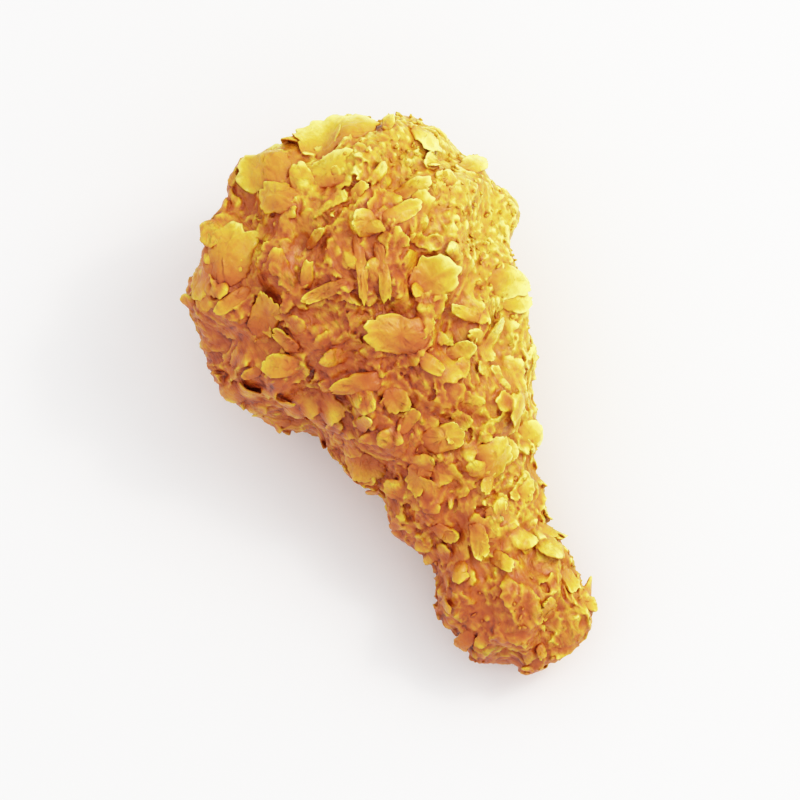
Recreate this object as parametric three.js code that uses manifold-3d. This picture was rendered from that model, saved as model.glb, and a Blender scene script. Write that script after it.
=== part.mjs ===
// A fried chicken drumstick that lies on its side, in millimetres, with +Z up.
// The meaty end points to +Y, the bone end to -Y, and the side that shows looks up.
// The origin is on the table, under the middle of the drumstick's box.
//
// The meat is a smooth round form, whose width, centre and height change along Y.
// The batter over it swells into lobes and lumps, and thin flakes of crust stand on it.
// Everything is fused into one solid, which is cut off flat where it rests on the table.
import * as THREE from "three";
import { mergeVertices } from "three/addons/utils/BufferGeometryUtils.js";
import Module from "manifold-3d";

// The smooth form, from the meaty end to the bone end: the place along Y, the half width,
// and how far the middle lies to the side of the Y axis.
const STATIONS = [
  { y: 58.8, half: 0.0, side: -0.5 },
  { y: 55.0, half: 15.6, side: 0.6 },
  { y: 50.0, half: 23.8, side: 1.6 },
  { y: 42.0, half: 30.5, side: 0.0 },
  { y: 30.0, half: 32.6, side: 0.2 },
  { y: 16.0, half: 29.8, side: -0.6 },
  { y: 4.0, half: 24.2, side: 1.2 },
  { y: -8.0, half: 18.6, side: 1.8 },
  { y: -20.0, half: 14.6, side: 1.0 },
  { y: -30.0, half: 11.8, side: 0.4 },
  { y: -40.0, half: 13.0, side: -0.6 },
  { y: -50.0, half: 11.8, side: 0.4 },
  { y: -56.0, half: 7.5, side: 1.4 },
  { y: -60.4, half: 0.0, side: 1.8 },
];
const MEAT_HEIGHT_SHARE = 0.86; // height over width at the meaty end
const BONE_HEIGHT_SHARE = 0.95; // the same at the bone end
const REST_MEAT_Y = 29; // where the meaty end touches the table
const REST_BONE_Y = -45; // where the bone end touches the table
const REST_GAP = 0.5; // how far the smooth form stays above the table under its batter

// The lobes of the batter. y is the place along the drumstick, round the angle round it,
// 0 on top and 90 towards +X, reach the radius of the swelling and rise its height.
const LOBES = [
  { y: 53, round: -28, reach: 9, rise: 3.2 },
  { y: 52, round: 40, reach: 11, rise: 2.6 },
  { y: 40, round: -66, reach: 12, rise: 3.0 },
  { y: 43, round: -30, reach: 7, rise: -2.4 },
  { y: 49.5, round: -88, reach: 6.5, rise: -7.5 },
  { y: 55.5, round: -62, reach: 7, rise: 2.2 },
  { y: 23, round: -84, reach: 9, rise: 3.2 },
  { y: 31, round: -88, reach: 5, rise: 1.4 },
  { y: 37, round: -86, reach: 6, rise: 2.4 },
  { y: 5, round: -84, reach: 6, rise: -3.2 },
  { y: 36, round: 74, reach: 12, rise: 2.0 },
  { y: 14, round: 78, reach: 10, rise: 1.8 },
  { y: 44, round: 80, reach: 5, rise: -2.6 },
  { y: 31, round: 88, reach: 6, rise: 3.0 },
  { y: 50, round: 84, reach: 6, rise: 2.4 },
  { y: 4, round: 84, reach: 6, rise: 1.8 },
  { y: 26, round: 10, reach: 13, rise: 1.4 },
  { y: -8, round: 72, reach: 9, rise: 3.0 },
  { y: -15, round: -82, reach: 5, rise: -0.4 },
  { y: -9, round: -84, reach: 4, rise: 1.8 },
  { y: -22, round: -84, reach: 6, rise: 3.0 },
  { y: -18, round: 84, reach: 4, rise: 1.6 },
  { y: -44, round: 62, reach: 9, rise: 1.6 },
  { y: -42, round: -68, reach: 8, rise: 1.4 },
  { y: 40, round: 150, reach: 14, rise: 2.4 },
  { y: 20, round: -140, reach: 12, rise: 2.2 },
  { y: 50, round: -120, reach: 12, rise: 2.6 },
  { y: 10, round: 120, reach: 11, rise: 2.2 },
  { y: -20, round: 170, reach: 9, rise: 1.6 },
];

// The lumps: waves through space in random directions, which together look like none.
const LUMP_WAVES = 16;
const LUMP_LENGTH = { least: 8, most: 19 };
const LUMP_RISE = 0.34;

// The flakes that show on top. y and round say where the flake's root is, heading which
// way it runs from there (0 towards +Y, 90 towards +X when seen from above), tilt how
// steeply it leaves the crust, and curl how many degrees it bends back along its length.
const SHOWN_FLAKES = [
  { y: 34.5, round: -55, length: 17.5, width: 10, heading: 50, tilt: 14, curl: -12 },
  { y: 42, round: -48, length: 12, width: 10.5, heading: -85, tilt: 15, curl: -20 },
  { y: 36, round: -72, length: 4, width: 3, heading: -40, tilt: 40, curl: 0 },
  { y: 33, round: -45, length: 7, width: 3, heading: -100, tilt: 19, curl: -18 },
  { y: 23.5, round: -53, length: 12.5, width: 6.5, heading: 60, tilt: 20, curl: -20 },
  { y: 16.5, round: -38, length: 8, width: 3.5, heading: -25, tilt: 16, curl: -12 },
  { y: 13.5, round: -40, length: 9.5, width: 4.5, heading: -65, tilt: 12, curl: -18 },
  { y: 18.5, round: -57, length: 4.5, width: 2.5, heading: -95, tilt: 19, curl: -12 },
  { y: 4.5, round: -15, length: 13, width: 4.5, heading: -80, tilt: 15, curl: -16 },
  { y: 24, round: -7, length: 11, width: 3, heading: -90, tilt: 21, curl: -22 },
  { y: 33.5, round: -17, length: 7, width: 2.5, heading: 70, tilt: 40, curl: -12 },
  { y: 26.5, round: -24, length: 7, width: 2.5, heading: 40, tilt: 29, curl: -24 },
  { y: 31.5, round: 10, length: 7, width: 6, heading: -60, tilt: 34, curl: 0 },
  { y: 31.5, round: 10, length: 10.5, width: 4.5, heading: 90, tilt: 16, curl: -18 },
  { y: 43, round: 1, length: 7.5, width: 15, heading: 25, tilt: 17, curl: -13 },
  { y: 43, round: -10, length: 11.5, width: 8, heading: -55, tilt: 17, curl: -16 },
  { y: 49.5, round: 10, length: 12, width: 20, heading: 10, tilt: 19, curl: -14 },
  { y: 48.5, round: -13, length: 11.5, width: 10, heading: -40, tilt: 19, curl: -17 },
  { y: 38.5, round: 6, length: 5, width: 2.5, heading: 70, tilt: 27, curl: -12 },
  { y: 35.5, round: 22, length: 8.5, width: 4, heading: 90, tilt: 20, curl: -16 },
  { y: 16.5, round: 14, length: 10, width: 10, heading: 75, tilt: 19, curl: -12 },
  { y: 7.5, round: 15, length: 17, width: 9, heading: -55, tilt: 19, curl: -14 },
  { y: 7.5, round: 39, length: 8, width: 3, heading: -45, tilt: 22, curl: -12 },
  { y: 3, round: 42, length: 7, width: 3, heading: -50, tilt: 22, curl: -12 },
  { y: 32.5, round: 3, length: 16, width: 2.5, heading: -160, tilt: 9, curl: -13 },
  { y: 29.5, round: 8, length: 13.5, width: 2.5, heading: -165, tilt: 10, curl: -13 },
  { y: 15.5, round: 54, length: 11.5, width: 6.5, heading: 120, tilt: 16, curl: -12 },
  { y: 10.5, round: 62, length: 7, width: 5, heading: 120, tilt: 19, curl: -12 },
  { y: -10, round: -21, length: 11.5, width: 7, heading: 90, tilt: 21, curl: -10 },
  { y: -18.5, round: 1, length: 13.5, width: 9.5, heading: 90, tilt: 17, curl: -14 },
  { y: -16, round: 61, length: 6.5, width: 7, heading: 105, tilt: 19, curl: -11 },
  { y: -12.5, round: -22, length: 9, width: 6, heading: -130, tilt: 20, curl: -18 },
  { y: 1.5, round: 15, length: 7.5, width: 4.5, heading: 75, tilt: 19, curl: -12 },
  { y: 7, round: 2, length: 8.5, width: 3.5, heading: 155, tilt: 17, curl: -16 },
  { y: 3, round: -20, length: 7, width: 6, heading: 170, tilt: 17, curl: -16 },
  { y: -5.5, round: -28, length: 7, width: 3.5, heading: 60, tilt: 22, curl: -12 },
  { y: -1, round: -48, length: 7.5, width: 4, heading: 55, tilt: 34, curl: 6 },
  { y: 53.5, round: 32, length: 6, width: 3, heading: 20, tilt: 14, curl: 0 },
  { y: 48.5, round: 35, length: 4.5, width: 2.5, heading: 40, tilt: 20, curl: 0 },
  { y: 48.5, round: 55, length: 8, width: 6.5, heading: -175, tilt: 17, curl: -12 },
  { y: 37, round: 66, length: 8, width: 5, heading: 75, tilt: 19, curl: -6 },
  { y: -6, round: -61, length: 6.5, width: 10, heading: -120, tilt: 15, curl: -16 },
  { y: -32, round: 72, length: 7.5, width: 6.5, heading: 120, tilt: 16, curl: -13 },
  { y: -43, round: 60, length: 7, width: 5, heading: 135, tilt: 16, curl: -13 },
  { y: -50.5, round: 66, length: 5, width: 3, heading: 115, tilt: 20, curl: 0 },
  { y: -56.5, round: -10, length: 3.5, width: 3, heading: -175, tilt: 21, curl: 0 },
  { y: -47.5, round: -61, length: 6, width: 4.5, heading: -110, tilt: 16, curl: -6 },
  { y: -24.5, round: 47, length: 4.5, width: 8, heading: 115, tilt: 6, curl: -8 },
  { y: -20, round: 28, length: 7, width: 4, heading: -120, tilt: 18, curl: -10 },
  { y: -27.5, round: 1, length: 6.5, width: 3, heading: 90, tilt: 20, curl: -12 },
  { y: -27, round: -7, length: 11, width: 4, heading: -170, tilt: 15, curl: -10 },
  { y: -53.5, round: 29, length: 9, width: 5.5, heading: -20, tilt: 26, curl: -10 },
  { y: -24, round: -46, length: 6.5, width: 4, heading: 160, tilt: 14, curl: -10 },
  { y: -35, round: -4, length: 6, width: 4, heading: 150, tilt: 15, curl: -10 },
  { y: 38.5, round: 49, length: 4, width: 6, heading: -35, tilt: 20, curl: -10 },
  { y: 33.5, round: 45, length: 4, width: 6.5, heading: 15, tilt: 16, curl: -10 },
  { y: -33, round: -35, length: 5, width: 3.5, heading: -160, tilt: 15, curl: -8 },
  { y: -17, round: 38, length: 5.5, width: 6.5, heading: 120, tilt: 18, curl: -14 },
];

// The flakes on the rest of the crust are strewn by a rule.
const STREWN_FLAKES = 40;
const STREWN_SEED = 22538;
const STREWN_TRIES = 4000;
const STREWN_LENGTH = { least: 7.5, most: 13 };
const STREWN_SHAPE = { least: 0.55, most: 1.0 }; // width over length
const STREWN_TILT = { least: 11, most: 26 };
const STREWN_CURL = { least: -20, most: 6 };
const STREWN_APART = 7.5; // from root to root
const STREWN_ENDS = { low: -55, high: 55 }; // the stretch of Y that they take
const BARE_TOP = 0.35; // they keep off the top, where the cosine of the angle round is more

const FLAKE_THICKNESS = 1.4;
const FLAKE_SINK = 1.2; // how deep a flake's root lies in the crust
const FLAKE_CUP = 0.9; // how far a flake's long sides bend down
const FLAKE_RAGGED = 0.2; // how uneven a flake's outline is, as a share of its size
const FLAKE_SQUARE = 2.8; // 2 makes a round outline, and more a squarer one
const FLAKE_SIDES = 8;
const FLAKE_RINGS = 4;
const SMALL_FLAKE = 8.6; // flakes shorter than this have plain flat faces
const SMALL_FLAKE_RINGS = 3;

const BODY_DETAIL = 12;
const LUMP_SEED = 731;
const EDGE_SEED = 5190;
const TABLE_SIZE = 400;
const WELD = 1e-3; // vertices closer than this are one

const radians = THREE.MathUtils.degToRad;
const wasm = await Module();
wasm.setup();

// A repeatable row of numbers from 0 to 1.
function randomRow(seed) {
  const factor = 48271;
  const modulus = 2147483647;
  let state = seed;
  return () => {
    state = (state * factor) % modulus;
    return state / modulus;
  };
}

const between = (range, share) => range.least + (range.most - range.least) * share;

// The smooth form at a place along Y: its squared half width, middle and height share.
// The squared half width goes on below zero past the ends, which keeps the ends round.
function formAt(y) {
  const last = STATIONS.length - 2;
  const next = STATIONS.findIndex((station) => station.y < y);
  const from = next < 0 ? last : Math.min(Math.max(next - 1, 0), last);
  const a = STATIONS[from];
  const b = STATIONS[from + 1];
  const slope = (key, i) => {
    const low = STATIONS[Math.max(i - 1, 0)];
    const high = STATIONS[Math.min(i + 1, STATIONS.length - 1)];
    return (key(high) - key(low)) / (high.y - low.y);
  };
  const share = (y - a.y) / (b.y - a.y);
  const smooth = (key) => {
    const gap = b.y - a.y;
    if (share < 0) return key(a) + slope(key, from) * (y - a.y);
    if (share > 1) return key(b) + slope(key, from + 1) * (y - b.y);
    const s2 = share * share;
    const s3 = s2 * share;
    return (
      key(a) * (2 * s3 - 3 * s2 + 1) +
      slope(key, from) * gap * (s3 - 2 * s2 + share) +
      key(b) * (3 * s2 - 2 * s3) +
      slope(key, from + 1) * gap * (s3 - s2)
    );
  };
  const square = smooth((station) => station.half * station.half);
  const side = smooth((station) => station.side);
  const along = THREE.MathUtils.smoothstep(y, REST_BONE_Y, REST_MEAT_Y);
  const flat = THREE.MathUtils.lerp(BONE_HEIGHT_SHARE, MEAT_HEIGHT_SHARE, along);
  return { square, side, flat };
}

// The height of the drumstick's middle line: straight, and low enough to rest on both ends.
function restHeight(y) {
  const form = formAt(y);
  return Math.sqrt(form.square) * form.flat + REST_GAP;
}
const MEAT_MIDDLE = restHeight(REST_MEAT_Y);
const BONE_MIDDLE = restHeight(REST_BONE_Y);
const MIDDLE_SLOPE = (MEAT_MIDDLE - BONE_MIDDLE) / (REST_MEAT_Y - REST_BONE_Y);
const middleHeight = (y) => BONE_MIDDLE + (y - REST_BONE_Y) * MIDDLE_SLOPE;

// A point on the smooth form, at a place along Y and an angle round it.
function formPoint(y, round) {
  const { square, side, flat } = formAt(y);
  const half = Math.sqrt(Math.max(square, 0));
  return new THREE.Vector3(
    side + half * Math.sin(round),
    y,
    middleHeight(y) + half * flat * Math.cos(round),
  );
}

// How far a point is outside the smooth form, as a squared length.
function outside(p) {
  const { square, side, flat } = formAt(p.y);
  return (p.x - side) ** 2 + ((p.z - middleHeight(p.y)) / flat) ** 2 - square;
}

function slopeOutside(p) {
  const step = 0.05;
  const gradient = new THREE.Vector3();
  for (const axis of ["x", "y", "z"]) {
    const ahead = p.clone();
    const behind = p.clone();
    ahead[axis] += step;
    behind[axis] -= step;
    gradient[axis] = (outside(ahead) - outside(behind)) / (2 * step);
  }
  return gradient;
}

// The point of the smooth form next to p, and the way out of the form there.
function ontoForm(p) {
  const at = p.clone();
  for (let i = 0; i < 4; i++) {
    const gradient = slopeOutside(at);
    at.addScaledVector(gradient, -outside(at) / Math.max(gradient.lengthSq(), 1));
  }
  return { at, out: slopeOutside(at).normalize() };
}

function makeWaves() {
  const random = randomRow(LUMP_SEED);
  return Array.from({ length: LUMP_WAVES }, () => {
    const up = 2 * random() - 1;
    const turn = 2 * Math.PI * random();
    const flat = Math.sqrt(1 - up * up);
    const length = between(LUMP_LENGTH, random());
    const way = new THREE.Vector3(flat * Math.cos(turn), flat * Math.sin(turn), up);
    return { way: way.multiplyScalar((2 * Math.PI) / length), start: 2 * Math.PI * random() };
  });
}
const WAVES = makeWaves();
const LOBE_POINTS = LOBES.map((lobe) => formPoint(lobe.y, radians(lobe.round)));

// How far the batter stands off the smooth form.
function batter(p) {
  let rise = 0;
  LOBES.forEach((lobe, i) => {
    rise += lobe.rise * Math.exp(-p.distanceToSquared(LOBE_POINTS[i]) / lobe.reach ** 2);
  });
  for (const wave of WAVES) rise += LUMP_RISE * Math.sin(wave.way.dot(p) + wave.start);
  return rise;
}

// A point that stands height above the battered form, over the point next to p.
function overBatter(p, height) {
  const { at, out } = ontoForm(p);
  return at.clone().addScaledVector(out, batter(at) + height);
}

// A closed geometry as a solid, with its shared vertices merged.
function solidOf(geometry) {
  const bare = new THREE.BufferGeometry();
  bare.setAttribute("position", geometry.getAttribute("position"));
  if (geometry.index) bare.setIndex(geometry.index);
  const merged = mergeVertices(bare, WELD);
  const vertProperties = merged.getAttribute("position").array;
  const triVerts = new Uint32Array(merged.index.array);
  return new wasm.Manifold(new wasm.Mesh({ numProp: 3, vertProperties, triVerts }));
}

// Moves each vertex of a geometry to where place says.
function reshape(geometry, place) {
  const position = geometry.getAttribute("position");
  const from = new THREE.Vector3();
  for (let i = 0; i < position.count; i++) {
    const to = place(from.fromBufferAttribute(position, i));
    position.setXYZ(i, to.x, to.y, to.z);
  }
  return geometry;
}

// The battered meat, from a ball of nearly even triangles.
function makeBody() {
  const high = STATIONS[0].y;
  const low = STATIONS[STATIONS.length - 1].y;
  const ball = reshape(new THREE.IcosahedronGeometry(1, BODY_DETAIL), (v) => {
    const along = THREE.MathUtils.clamp(v.y, -1, 1);
    const y = (high + low) / 2 + ((high - low) / 2) * along;
    return overBatter(formPoint(y, Math.atan2(v.x, v.z)), 0);
  });
  return solidOf(ball);
}

// One flake: a ball pressed flat, with a ragged outline, that leaves the crust at its root.
function makeFlake(flake, random) {
  const root = ontoForm(formPoint(flake.y, radians(flake.round)));
  const heading = radians(flake.heading);
  const ahead = new THREE.Vector3(Math.sin(heading), Math.cos(heading), 0);
  if (Math.abs(flake.round) > 90) ahead.x = -ahead.x;
  ahead.addScaledVector(root.out, -ahead.dot(root.out)).normalize();
  const across = new THREE.Vector3().crossVectors(ahead, root.out);
  const ragged = Array.from({ length: FLAKE_SIDES }, () => 1 + FLAKE_RAGGED * (2 * random() - 1));
  const tilt = radians(flake.tilt);
  const bend = radians(flake.curl) || 1e-6;

  const rings = flake.length < SMALL_FLAKE ? SMALL_FLAKE_RINGS : FLAKE_RINGS;

  return solidOf(
    reshape(new THREE.SphereGeometry(1, FLAKE_SIDES, rings), (v) => {
      const turn = Math.atan2(v.z, v.x);
      const side = Math.round((turn / (2 * Math.PI)) * FLAKE_SIDES);
      const corner = Math.abs(Math.cos(turn)) ** FLAKE_SQUARE + Math.abs(Math.sin(turn)) ** FLAKE_SQUARE;
      const size = ragged[(side + FLAKE_SIDES) % FLAKE_SIDES] / corner ** (1 / FLAKE_SQUARE);
      const share = 0.5 + 0.5 * v.x * size;
      const wide = v.z * size;
      const slope = tilt + bend * share;
      const layer = v.y * FLAKE_THICKNESS * 0.5;
      const run = (flake.length * (Math.sin(slope) - Math.sin(tilt))) / bend;
      const lift = (flake.length * (Math.cos(tilt) - Math.cos(slope))) / bend;
      const height = lift - FLAKE_SINK * (1 - share) - FLAKE_CUP * wide * wide + layer * Math.cos(slope);
      const place = root.at.clone();
      place.addScaledVector(ahead, run - layer * Math.sin(slope));
      place.addScaledVector(across, 0.5 * flake.width * wide);
      return overBatter(place, height);
    }),
  );
}

// Flakes at random places on the crust, none of them close to another.
function strewFlakes() {
  const random = randomRow(STREWN_SEED);
  const roots = SHOWN_FLAKES.map((flake) => formPoint(flake.y, radians(flake.round)));
  const widest = Math.max(...STATIONS.map((station) => station.half));
  const made = [];
  for (let i = 0; i < STREWN_TRIES && made.length < STREWN_FLAKES; i++) {
    const y = STREWN_ENDS.low + (STREWN_ENDS.high - STREWN_ENDS.low) * random();
    const round = 360 * random() - 180;
    const length = between(STREWN_LENGTH, random());
    const flake = {
      y,
      round,
      length,
      width: length * between(STREWN_SHAPE, random()),
      heading: 360 * random(),
      tilt: between(STREWN_TILT, random()),
      curl: between(STREWN_CURL, random()),
    };
    const kept = random() * widest < Math.sqrt(Math.max(formAt(y).square, 0));
    const root = formPoint(y, radians(round));
    const onTop = Math.cos(radians(round)) > BARE_TOP;
    if (!kept || onTop || roots.some((other) => other.distanceTo(root) < STREWN_APART)) continue;
    roots.push(root);
    made.push(flake);
  }
  return made;
}

// Everything below the table, which the flat spots are cut off by.
function makeTable() {
  const table = new THREE.BoxGeometry(TABLE_SIZE, TABLE_SIZE, TABLE_SIZE);
  return solidOf(table.translate(0, 0, -TABLE_SIZE / 2));
}

// The solid without its loose scraps and without the hollows that fusing has sealed.
function largestPiece(solid) {
  const pieces = solidOf(geometryOf(solid)).decompose();
  return pieces.reduce((most, piece) => (piece.volume() > most.volume() ? piece : most));
}

function makeDrumstick() {
  const random = randomRow(EDGE_SEED);
  let solid = makeBody();
  for (const flake of [...SHOWN_FLAKES, ...strewFlakes()]) solid = solid.add(makeFlake(flake, random));
  return largestPiece(solid.subtract(makeTable()));
}

function geometryOf(solid) {
  const mesh = solid.getMesh();
  const geometry = new THREE.BufferGeometry();
  geometry.setAttribute("position", new THREE.BufferAttribute(mesh.vertProperties, 3));
  geometry.setIndex(new THREE.BufferAttribute(mesh.triVerts, 1));
  geometry.computeVertexNormals();
  return geometry;
}

const crust = new THREE.MeshStandardMaterial({ color: 0xdd9530, roughness: 0.55, metalness: 0 });
const drumstick = new THREE.Mesh(geometryOf(makeDrumstick()), crust);
drumstick.name = "drumstick";

const group = new THREE.Group();
group.add(drumstick);

export default group;
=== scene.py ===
"""A fried chicken drumstick that lies on its side: its crust, flakes and crumbs on a pale floor.

The form, lobes, lumps and flakes repeat the part's own values and rules, with finer surfaces.
Lengths are in millimetres, +Y points to the meaty end and +Z up, until a mesh is made in metres.
"""

import math
from collections import namedtuple

import bmesh
import bpy
import numpy as np
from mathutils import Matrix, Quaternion, Vector, noise
from mathutils.bvhtree import BVHTree
from mathutils.kdtree import KDTree


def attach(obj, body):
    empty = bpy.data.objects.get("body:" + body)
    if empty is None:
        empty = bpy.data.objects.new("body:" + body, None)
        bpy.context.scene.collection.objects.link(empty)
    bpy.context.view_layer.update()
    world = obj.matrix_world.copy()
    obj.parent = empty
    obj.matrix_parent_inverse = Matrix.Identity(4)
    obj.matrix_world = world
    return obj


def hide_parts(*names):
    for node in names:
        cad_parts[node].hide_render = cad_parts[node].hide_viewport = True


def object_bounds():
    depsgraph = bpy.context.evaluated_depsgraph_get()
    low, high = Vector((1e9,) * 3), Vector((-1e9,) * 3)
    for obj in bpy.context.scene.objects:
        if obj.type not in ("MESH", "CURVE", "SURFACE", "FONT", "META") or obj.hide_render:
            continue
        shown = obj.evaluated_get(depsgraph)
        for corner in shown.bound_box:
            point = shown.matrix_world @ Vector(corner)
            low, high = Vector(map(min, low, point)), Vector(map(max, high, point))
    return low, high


MM = 0.001

# The smooth form, from the meaty end to the bone end: place along Y, half width, side.
STATIONS = [
    (58.8, 0.0, -0.5),
    (55.0, 15.6, 0.6),
    (50.0, 23.8, 1.6),
    (42.0, 30.5, 0.0),
    (30.0, 32.6, 0.2),
    (16.0, 29.8, -0.6),
    (4.0, 24.2, 1.2),
    (-8.0, 18.6, 1.8),
    (-20.0, 14.6, 1.0),
    (-30.0, 11.8, 0.4),
    (-40.0, 13.0, -0.6),
    (-50.0, 11.8, 0.4),
    (-56.0, 7.5, 1.4),
    (-60.4, 0.0, 1.8),
]
MEAT_HEIGHT_SHARE = 0.86
BONE_HEIGHT_SHARE = 0.95
REST_MEAT_Y = 29.0
REST_BONE_Y = -45.0
REST_GAP = 0.5

# The lobes of the batter: place along Y, angle round it, reach and rise.
LOBES = [
    (53, -28, 9, 3.2),
    (52, 40, 11, 2.6),
    (40, -66, 12, 3.0),
    (43, -30, 7, -2.4),
    (49.5, -88, 6.5, -7.5),
    (55.5, -62, 7, 2.2),
    (23, -84, 9, 3.2),
    (31, -88, 5, 1.4),
    (37, -86, 6, 2.4),
    (5, -84, 6, -3.2),
    (36, 74, 12, 2.0),
    (14, 78, 10, 1.8),
    (44, 80, 5, -2.6),
    (31, 88, 6, 3.0),
    (50, 84, 6, 2.4),
    (4, 84, 6, 1.8),
    (26, 10, 13, 1.4),
    (-8, 72, 9, 3.0),
    (-15, -82, 5, -0.4),
    (-9, -84, 4, 1.8),
    (-22, -84, 6, 3.0),
    (-18, 84, 4, 1.6),
    (-44, 62, 9, 1.6),
    (-42, -68, 8, 1.4),
    (40, 150, 14, 2.4),
    (20, -140, 12, 2.2),
    (50, -120, 12, 2.6),
    (10, 120, 11, 2.2),
    (-20, 170, 9, 1.6),
]
LUMP_WAVES = 16
LUMP_LENGTH = (8.0, 19.0)
LUMP_RISE = 0.34
LUMP_SEED = 731

# The flakes that the photograph shows: y, round, length, width, heading, tilt, curl.
SHOWN_FLAKES = [
    (34.5, -55, 17.5, 10, 50, 14, -12),
    (42, -48, 12, 10.5, -85, 15, -20),
    (36, -72, 4, 3, -40, 40, 0),
    (33, -45, 7, 3, -100, 19, -18),
    (23.5, -53, 12.5, 6.5, 60, 20, -20),
    (16.5, -38, 8, 3.5, -25, 16, -12),
    (13.5, -40, 9.5, 4.5, -65, 12, -18),
    (18.5, -57, 4.5, 2.5, -95, 19, -12),
    (4.5, -15, 13, 4.5, -80, 15, -16),
    (24, -7, 11, 3, -90, 21, -22),
    (33.5, -17, 7, 2.5, 70, 40, -12),
    (26.5, -24, 7, 2.5, 40, 29, -24),
    (31.5, 10, 7, 6, -60, 34, 0),
    (31.5, 10, 10.5, 4.5, 90, 16, -18),
    (43, 1, 7.5, 15, 25, 17, -13),
    (43, -10, 11.5, 8, -55, 17, -16),
    (49.5, 10, 12, 20, 10, 19, -14),
    (48.5, -13, 11.5, 10, -40, 19, -17),
    (38.5, 6, 5, 2.5, 70, 27, -12),
    (35.5, 22, 8.5, 4, 90, 20, -16),
    (16.5, 14, 10, 10, 75, 19, -12),
    (7.5, 15, 17, 9, -55, 19, -14),
    (7.5, 39, 8, 3, -45, 22, -12),
    (3, 42, 7, 3, -50, 22, -12),
    (32.5, 3, 16, 2.5, -160, 9, -13),
    (29.5, 8, 13.5, 2.5, -165, 10, -13),
    (15.5, 54, 11.5, 6.5, 120, 16, -12),
    (10.5, 62, 7, 5, 120, 19, -12),
    (-10, -21, 11.5, 7, 90, 21, -10),
    (-18.5, 1, 13.5, 9.5, 90, 17, -14),
    (-16, 61, 6.5, 7, 105, 19, -11),
    (-12.5, -22, 9, 6, -130, 20, -18),
    (1.5, 15, 7.5, 4.5, 75, 19, -12),
    (7, 2, 8.5, 3.5, 155, 17, -16),
    (3, -20, 7, 6, 170, 17, -16),
    (-5.5, -28, 7, 3.5, 60, 22, -12),
    (-1, -48, 7.5, 4, 55, 34, 6),
    (53.5, 32, 6, 3, 20, 14, 0),
    (48.5, 35, 4.5, 2.5, 40, 20, 0),
    (48.5, 55, 8, 6.5, -175, 17, -12),
    (37, 66, 8, 5, 75, 19, -6),
    (-6, -61, 6.5, 10, -120, 15, -16),
    (-32, 72, 7.5, 6.5, 120, 16, -13),
    (-43, 60, 7, 5, 135, 16, -13),
    (-50.5, 66, 5, 3, 115, 20, 0),
    (-56.5, -10, 3.5, 3, -175, 21, 0),
    (-47.5, -61, 6, 4.5, -110, 16, -6),
    (-24.5, 47, 4.5, 8, 115, 6, -8),
    (-20, 28, 7, 4, -120, 18, -10),
    (-27.5, 1, 6.5, 3, 90, 20, -12),
    (-27, -7, 11, 4, -170, 15, -10),
    (-53.5, 29, 9, 5.5, -20, 26, -10),
    (-24, -46, 6.5, 4, 160, 14, -10),
    (-35, -4, 6, 4, 150, 15, -10),
    (38.5, 49, 4, 6, -35, 20, -10),
    (33.5, 45, 4, 6.5, 15, 16, -10),
    (-33, -35, 5, 3.5, -160, 15, -8),
    (-17, 38, 5.5, 6.5, 120, 18, -14),
]

# The rule by which the part strews its other flakes.
STREWN_FLAKES = 40
STREWN_SEED = 22538
STREWN_TRIES = 4000
STREWN_LENGTH = (7.5, 13.0)
STREWN_SHAPE = (0.55, 1.0)
STREWN_TILT = (11.0, 26.0)
STREWN_CURL = (-20.0, 6.0)
STREWN_APART = 7.5
STREWN_ENDS = (-55.0, 55.0)
BARE_TOP = 0.35
STREWN_LOWER = 0.45

FLAKE_SINK = 1.2
FLAKE_CUP = 0.9
FLAKE_SQUARE = 2.8
MOUND_GAP = 0.45

# The crust: the step of its grid and of the surface fused from it, and its triangles.
CRUST_STEP = 0.3
CRUST_SEED = 97
FUSE_STEP = 0.27
FUSE_SMOOTH = 0.08
CRUST_TRIANGLES = 198000
CRUST_LOWER = 0.4
OVERHANG = 0.8
HEIGHT_LIMIT = 2.2
FLAKE_HIGHEST = 4.2
BOX_EASE = 0.75

# Where the crust is crumbly: its patches, and the places where it starts to be and fully is.
PATCH_SIZE = 15.0
PATCH_SHIFT = 9.0
CRUMBLY_PATCH = (0.05, 0.3)
CRUMBLY_RIGHT = (13.0, 24.0)
CRUMBLY_UP = (-4.0, 8.0)
CRUMBLY_UNDER = (-24.0, -14.0)
CRUMBLY_BONE = (40.0, 50.0)
BONE_CRUMBS = 0.4

# Where the crust lies in long layers: from the middle to the left, and along Y.
LAYERS_LEFT = (4.0, 15.0)
LAYERS_START = (-14.0, -5.0)
LAYERS_END = (24.0, 34.0)

# The sheets' torn edges: size and depth of the tears, the share of a sheet that is its steep edge,
# how it rises, and the noise at which sheets start and are fully there.
TEAR_SIZES = (0.34, 0.12)
TEAR_DEPTHS = (0.30, 0.12)
STEEP_SHARE = 0.06
SHEET_POWER = 1.3
PATCHES_OF_SHEETS = (-0.3, 0.2)

# The kinds of sheets: the size of their lumps, how closely edges follow, how torn they are.
WIDE_SHEETS = ((10.0, 14.0, 10.0), 2.6, 0.9)
TALL_SHEETS = ((4.4, 6.8, 4.6), 2.4, 0.9)
LONG_LAYERS = ((14.0, 4.2, 7.0), 2.4, 0.6)
CRUMBLY_SHEETS = ((2.6, 2.6, 2.6), 2.2, 1.0)
FLAKE_SHEETS = ((3.6, 5.6, 4.0), 2.2, 0.9)

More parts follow.
